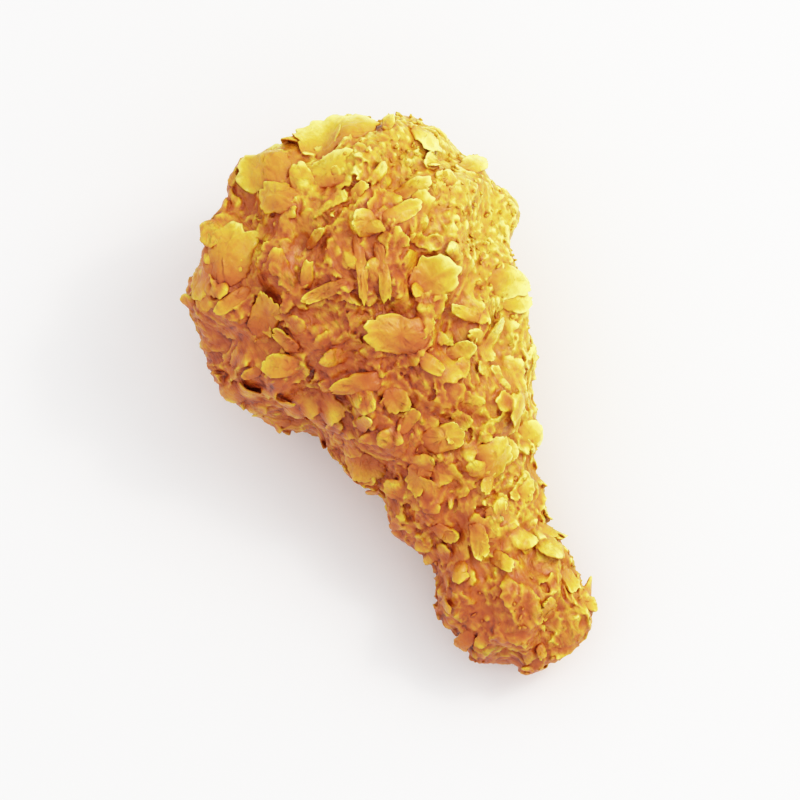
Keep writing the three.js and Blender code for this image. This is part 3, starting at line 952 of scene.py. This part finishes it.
def linear(red, green, blue):
    """A colour as seen on a screen, from 0 to 255, as the light that it stands for."""
    parts = np.array([red, green, blue]) / 255
    parts = np.where(parts <= 0.04045, parts / 12.92, ((parts + 0.055) / 1.055) ** 2.4)
    return (*parts.tolist(), 1.0)


# The tint runs from 0, deep brown, to 1, pale yellow. What it starts at, and what adds to it:
# how open a place is and how many of its rays meet the crust close by, a painted shade in hollows
# and narrow gaps; how high it stands; edges, partly the batter's paler thin edges and partly a
# painted shade in the crust's hollows; and the way that it faces, a painted light from the lamps.
TINT_START = 0.212
PAINTED_SHADE_BY_OPENNESS = 0.15
TINT_RISE = 0.03
PAINTED_SHADE_IN_GAPS = 0.28
TINT_EDGE_AND_PAINTED_SHADE = 0.31
PAINTED_LIGHT_FACING = 0.13
EDGE_RISE = 0.36
EDGE_LIMITS = (-0.6, 1.1)
EDGE_SHIFT = 0.08
EVEN_ROUNDS = 9

# Where the tint is paler or redder as a whole: paler to the upper right, to the right and at the top,
# partly paler batter and partly a painted light on the side of the lamps; redder at the bone end;
# and redder in the middle, a painted shade.
PALE_AND_PAINTED_LIGHT_UPPER_RIGHT = 0.13
PALE_AND_PAINTED_LIGHT_RIGHT = 0.25
RED_BONE = 0.09
PALE_AND_PAINTED_LIGHT_TOP = 0.11
PAINTED_SHADE_MIDDLE = 0.09
MIDDLE = (2.0, 12.0)
MIDDLE_REACH = 200.0

# How much of the small torn sheets each piece shows.
ROUGHNESS = {
    "crust": 1.0,
    "large_flakes": 0.4,
    "strewn_flakes": 0.4,
    "crumbs": 0.7,
}

CRUST_COLOURS = [
    (0.00, (108, 37, 12)),
    (0.12, (165, 72, 22)),
    (0.34, (185, 101, 29)),
    (0.56, (201, 140, 36)),
    (0.78, (213, 183, 48)),
    (1.00, (247, 238, 134)),
]

# The material: what each pattern adds to the tint, and the height of its bumps in metres.
BLOTCH_TINT = 0.18
SPECK_TINT = 0.16
SHEET_TINT = 0.16
FIBRE_TINT = 0.12
GRAIN_BUMP = 0.00012
LUMP_BUMP = 0.0002
FIBRE_BUMP = 0.0004
SHEET_BUMP = 0.0004


def crust_material():
    """Fried batter: redder in hollows as a painted shade, paler at the edges, with painted light on
    the side that faces the lamps, uneven, and slightly oily.
    """
    material = bpy.data.materials.new("fried_batter")
    material.use_nodes = True
    tree = material.node_tree
    nodes, links = tree.nodes, tree.links
    shader = nodes["Principled BSDF"]
    place = nodes.new("ShaderNodeTexCoord")

    def noise_node(scale, detail, roughness=0.55):
        node = nodes.new("ShaderNodeTexNoise")
        node.inputs["Scale"].default_value = scale
        node.inputs["Detail"].default_value = detail
        node.inputs["Roughness"].default_value = roughness
        links.new(place.outputs["Object"], node.inputs["Vector"])
        return node.outputs["Fac"]

    def maths(way, first, second):
        node = nodes.new("ShaderNodeMath")
        node.operation = way
        for socket, value in zip(node.inputs, (first, second)):
            if isinstance(value, (int, float)):
                socket.default_value = value
            else:
                links.new(value, socket)
        return node.outputs[0]

    def stretched(scale):
        node = nodes.new("ShaderNodeMapping")
        node.inputs["Scale"].default_value = scale
        links.new(place.outputs["Object"], node.inputs["Vector"])
        return node.outputs["Vector"]

    def sheets(size, count, strength):
        """Small torn sheets: from 0 behind an edge up to the strength at the next edge."""
        level = nodes.new("ShaderNodeTexNoise")
        level.inputs["Scale"].default_value = 1 / size
        level.inputs["Detail"].default_value = 3.0
        level.inputs["Roughness"].default_value = 0.4
        level.inputs["Distortion"].default_value = 0.6
        links.new(stretched((1.0, 0.6, 1.0)), level.inputs["Vector"])
        share = maths("FRACT", maths("MULTIPLY", level.outputs["Fac"], count), 0.0)
        there = nodes.new("ShaderNodeMapRange")
        there.inputs["From Min"].default_value = 0.42
        there.inputs["From Max"].default_value = 0.58
        there.inputs["To Max"].default_value = strength
        links.new(noise_node(0.6 / size, 2), there.inputs["Value"])
        return maths("MULTIPLY", maths("POWER", share, 1.3), there.outputs["Result"])

    tint = nodes.new("ShaderNodeAttribute")
    tint.attribute_name = "tint"
    rough = nodes.new("ShaderNodeAttribute")
    rough.attribute_name = "rough"
    small_sheets = maths("ADD", sheets(0.006, 9.0, 1.0), sheets(0.0028, 7.0, 0.6))
    small_sheets = maths("MULTIPLY", small_sheets, rough.outputs["Fac"])
    blotches = maths("MULTIPLY", maths("SUBTRACT", noise_node(170, 3), 0.5), BLOTCH_TINT)
    specks = maths("MULTIPLY", maths("SUBTRACT", noise_node(900, 4, 0.65), 0.5), SPECK_TINT)
    mixed = maths("ADD", maths("ADD", tint.outputs["Fac"], blotches), specks)
    mixed = maths("ADD", mixed, maths("MULTIPLY", maths("SUBTRACT", small_sheets, 0.3), SHEET_TINT))
    fibres = nodes.new("ShaderNodeTexNoise")
    fibres.inputs["Scale"].default_value = 900
    fibres.inputs["Detail"].default_value = 2.0
    fibres.inputs["Distortion"].default_value = 0.5
    links.new(stretched((1.0, 0.16, 1.0)), fibres.inputs["Vector"])
    fibre_height = maths("MULTIPLY", fibres.outputs["Fac"], rough.outputs["Fac"])
    fibre_tint = maths("MULTIPLY", maths("SUBTRACT", fibres.outputs["Fac"], 0.5), FIBRE_TINT)
    mixed = maths("ADD", mixed, fibre_tint)
    ramp = nodes.new("ShaderNodeValToRGB")
    stops = ramp.color_ramp.elements
    while len(stops) < len(CRUST_COLOURS):
        stops.new(0.5)
    for stop, (position, colour) in zip(stops, CRUST_COLOURS):
        stop.position = position
        stop.color = linear(*colour)
    links.new(mixed, ramp.inputs["Fac"])
    links.new(ramp.outputs["Color"], shader.inputs["Base Color"])

    gloss = maths("ADD", maths("MULTIPLY", noise_node(420, 3), 0.4), 0.25)
    links.new(gloss, shader.inputs["Roughness"])
    shader.inputs["Specular IOR Level"].default_value = 0.5
    shader.inputs["Coat Weight"].default_value = 0.2
    shader.inputs["Coat Roughness"].default_value = 0.2
    shader.inputs["Subsurface Weight"].default_value = 0.08
    shader.inputs["Subsurface Radius"].default_value = (1.0, 0.45, 0.12)
    shader.inputs["Subsurface Scale"].default_value = 0.0012

    def bump(height, distance, below=None):
        node = nodes.new("ShaderNodeBump")
        node.inputs["Strength"].default_value = 1.0
        node.inputs["Distance"].default_value = distance
        links.new(height, node.inputs["Height"])
        if below is not None:
            links.new(below, node.inputs["Normal"])
        return node.outputs["Normal"]

    normal = bump(noise_node(1500, 3, 0.55), GRAIN_BUMP)
    normal = bump(noise_node(520, 3, 0.5), LUMP_BUMP, normal)
    normal = bump(fibre_height, FIBRE_BUMP, normal)
    normal = bump(small_sheets, SHEET_BUMP, normal)
    links.new(normal, shader.inputs["Normal"])
    return material


def region_tint(x, y):
    """How much paler or redder the tint is at places seen from above: paler to the upper right, right
    and top, partly paler batter and partly painted light; redder at the bone end; and a painted shade
    in the middle.
    """
    tint = PALE_AND_PAINTED_LIGHT_UPPER_RIGHT * smoothstep(0.8 * x + 0.45 * y, -14, 34)
    tint += PALE_AND_PAINTED_LIGHT_RIGHT * np.clip((x - 0.3 * y + 2) / 30, 0, 1)
    tint -= RED_BONE * smoothstep(-y, 36, 48)
    tint += PALE_AND_PAINTED_LIGHT_TOP * smoothstep(y, 32, 48) * smoothstep(x, -14, 0)
    away = (x - MIDDLE[0]) ** 2 + (y - MIDDLE[1]) ** 2
    return tint - PAINTED_SHADE_MIDDLE * np.exp(-away / MIDDLE_REACH)


def make_drumstick():
    """The crust and what stands on it, each kind as one piece."""
    rng = np.random.default_rng(CRUST_SEED)
    # The way the crust is bent would differ from run to run without its own seed.
    noise.seed_set(CRUST_SEED)
    points, quads = smooth_grid(CRUST_STEP)
    points, outs = onto_form(points)
    crumb_share = crumbly(points)
    height, overhang = grain(points, quads, crumb_share)
    height = HEIGHT_LIMIT * np.tanh((height - np.median(height) - CRUST_LOWER) / HEIGHT_LIMIT)
    tree = KDTree(len(points))
    for i, point in enumerate(points):
        tree.insert(point, i)
    tree.balance()

    flakes = part_flakes(tree, height, rng)
    height = lay_mounds(points, height, flakes)
    body = points + overhang + outs * (batter(points) + height)[:, None]
    rest = (points, outs, height, crumb_share, rng)
    low = flakes_piece(plates(*rest), 6, 32, PLATE_THICKNESS)
    small = flakes_piece(small_flakes(*rest), 6, 28, SMALL_THICKNESS)
    crust, crust_faces = fused([(body, quads), low[:2], small[:2]])
    shown = len(SHOWN_FLAKES)
    form = (LARGE_RINGS, LARGE_SIDES, LARGE_THICKNESS, LARGE_RELIEF)
    large, large_faces, large_edge = flakes_piece(flakes[:shown], *form)
    strewn, strewn_faces, strewn_edge = flakes_piece(flakes[shown:], *form)
    bits, bit_faces = crumbs_piece(*rest)

    pieces = [
        make_piece("crust", crust, crust_faces),
        make_piece("large_flakes", large, large_faces),
        make_piece("strewn_flakes", strewn, strewn_faces),
        make_piece("crumbs", bits, bit_faces),
    ]
    stands = [None, large_edge, strewn_edge, np.full(len(bits), 0.2)]
    material = crust_material()
    for piece, (open_share, gap), edge in zip(pieces, openness(pieces), stands):
        places, normals = read_vertices(piece)
        places = places / MM
        at, out = onto_form(places)
        rise = ((places - at) * out).sum(-1) - batter(at)
        if edge is None:
            edge = np.clip(stand_out(rise, crust_faces) / EDGE_RISE, *EDGE_LIMITS) - EDGE_SHIFT
        # Painted shade: darker where few rays leave the crust, and in narrow gaps.
        tint = TINT_START + PAINTED_SHADE_BY_OPENNESS * open_share**1.3
        tint = tint + TINT_RISE * np.clip(rise, -1, 3) - PAINTED_SHADE_IN_GAPS * np.minimum(gap, 0.6)
        # Paler at edges, partly the batter's own thin edges; darker in the crust's hollows and where
        # rays are blocked, a painted shade.
        tint += TINT_EDGE_AND_PAINTED_SHADE * edge * (0.35 + 0.65 * open_share)
        # Paler to the upper right, right and top, partly as painted light; a painted shade in the
        # middle.
        tint += region_tint(places[:, 0], places[:, 1])
        # Painted light: paler where the surface faces the lamps' side.
        tint += PAINTED_LIGHT_FACING * (normals @ PAINTED_LIGHT_WAY)
        put_attribute(piece, "tint", tint)
        put_attribute(piece, "rough", np.full(len(tint), ROUGHNESS[piece.name]))
        piece.data.materials.append(material)
        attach(piece, "root")
    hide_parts("drumstick")


# The tone curve: the light that becomes white, the steepness in the shade, and its points.
TONE_WHITE = 2.4
TONE_POWER = 1.33
TONE_TOP = 0.93
TONE_SHARES = (0.01, 0.03, 0.06, 0.1, 0.16, 0.24, 0.34, 0.46, 0.6, 0.78)

# The camera looks down on the drumstick, as the photograph does.
VIEW_AZIMUTH = math.radians(-26.5)
VIEW_ELEVATION = math.radians(78.0)
VIEW_DISTANCE = 0.9
LENS = 192.4
SENSOR = 36.0
AIM_HEIGHT = 0.022
AIM_RIGHT = -0.0040
AIM_UP = 0.0016

# The floor's half width, the light from all round, and the two lamps' distance, size and power.
FLOOR_REACH = 3.0
FLOOR_DROP = 0.00005
FLOOR_COLOUR = (0.9, 0.9, 0.9, 1.0)
WORLD_LIGHT = 1.64
LAMP_DISTANCE = 0.9
LAMP_COLOUR = (1.0, 0.98, 0.93)
KEY_SIZE = 0.4
KEY_POWER = 3.3
GLINT_SIZE = 0.09
GLINT_POWER = 1.1


def make_camera():
    """The camera, and its ways to the right, up and back."""
    sine, cosine = math.sin(VIEW_AZIMUTH), math.cos(VIEW_AZIMUTH)
    flat = math.cos(VIEW_ELEVATION)
    back = Vector((sine * flat, -cosine * flat, math.sin(VIEW_ELEVATION)))
    right = Vector((cosine, sine, 0))
    up = back.cross(right)
    aim = Vector((0, 0, AIM_HEIGHT)) + right * AIM_RIGHT + up * AIM_UP
    data = bpy.data.cameras.new("camera")
    data.lens = LENS
    data.sensor_width = SENSOR
    camera = bpy.data.objects.new("camera", data)
    camera.location = aim + back * VIEW_DISTANCE
    camera.rotation_mode = "QUATERNION"
    camera.rotation_quaternion = (-back).to_track_quat("-Z", "Y")
    bpy.context.scene.collection.objects.link(camera)
    bpy.context.scene.camera = camera
    return right, up, back


def make_light(name, way, size, power):
    """A square lamp that faces the drumstick from the way given."""
    data = bpy.data.lights.new(name, "AREA")
    data.size = size
    data.energy = power
    data.color = LAMP_COLOUR
    lamp = bpy.data.objects.new(name, data)
    way = way.normalized()
    lamp.location = way * LAMP_DISTANCE
    lamp.rotation_mode = "QUATERNION"
    lamp.rotation_quaternion = (-way).to_track_quat("-Z", "Y")
    bpy.context.scene.collection.objects.link(lamp)


def make_stage(right, up, back):
    """A pale floor, soft light from all round, and two lamps at the upper right."""
    floor_mesh = bpy.data.meshes.new("floor")
    corners = [(FLOOR_REACH * x, FLOOR_REACH * y, 0) for x, y in ((-1, -1), (1, -1), (1, 1), (-1, 1))]
    floor_mesh.from_pydata(corners, [], [(0, 1, 2, 3)])
    floor = bpy.data.objects.new("floor", floor_mesh)
    floor.location.z = -FLOOR_DROP
    material = bpy.data.materials.new("pale_floor")
    material.use_nodes = True
    shader = material.node_tree.nodes["Principled BSDF"]
    shader.inputs["Base Color"].default_value = FLOOR_COLOUR
    shader.inputs["Roughness"].default_value = 0.7
    floor_mesh.materials.append(material)
    bpy.context.scene.collection.objects.link(floor)

    world = bpy.data.worlds.new("studio")
    world.use_nodes = True
    background = world.node_tree.nodes["Background"]
    background.inputs["Color"].default_value = (1, 1, 1, 1)
    background.inputs["Strength"].default_value = WORLD_LIGHT
    bpy.context.scene.world = world
    key_way = right * 1.0 + up * 0.75 + back * 1.3
    make_light("key", key_way, KEY_SIZE, KEY_POWER)
    make_light("glint", key_way, GLINT_SIZE, GLINT_POWER)
    set_tone()


def set_tone():
    """A film-like curve: deep colours in the shade, and bright ones that fade towards yellow."""
    view = bpy.context.scene.view_settings
    view.view_transform = "Standard"
    view.use_curve_mapping = True
    view.curve_mapping.white_level = (TONE_WHITE,) * 3
    points = view.curve_mapping.curves[3].points
    for share in TONE_SHARES:
        light = share * TONE_WHITE
        shown = min(1.0, (1 - math.exp(-(light**TONE_POWER))) / TONE_TOP)
        points.new(share, shown)
    points[-1].location = (1.0, 1.0)
    view.curve_mapping.update()


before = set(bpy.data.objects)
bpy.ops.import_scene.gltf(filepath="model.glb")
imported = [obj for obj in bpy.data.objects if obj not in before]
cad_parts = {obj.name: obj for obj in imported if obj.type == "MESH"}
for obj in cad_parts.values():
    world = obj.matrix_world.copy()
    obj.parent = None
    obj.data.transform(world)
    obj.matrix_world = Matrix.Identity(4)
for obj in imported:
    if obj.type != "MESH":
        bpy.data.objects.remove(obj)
cad_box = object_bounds()
make_stage(*make_camera())
make_drumstick()
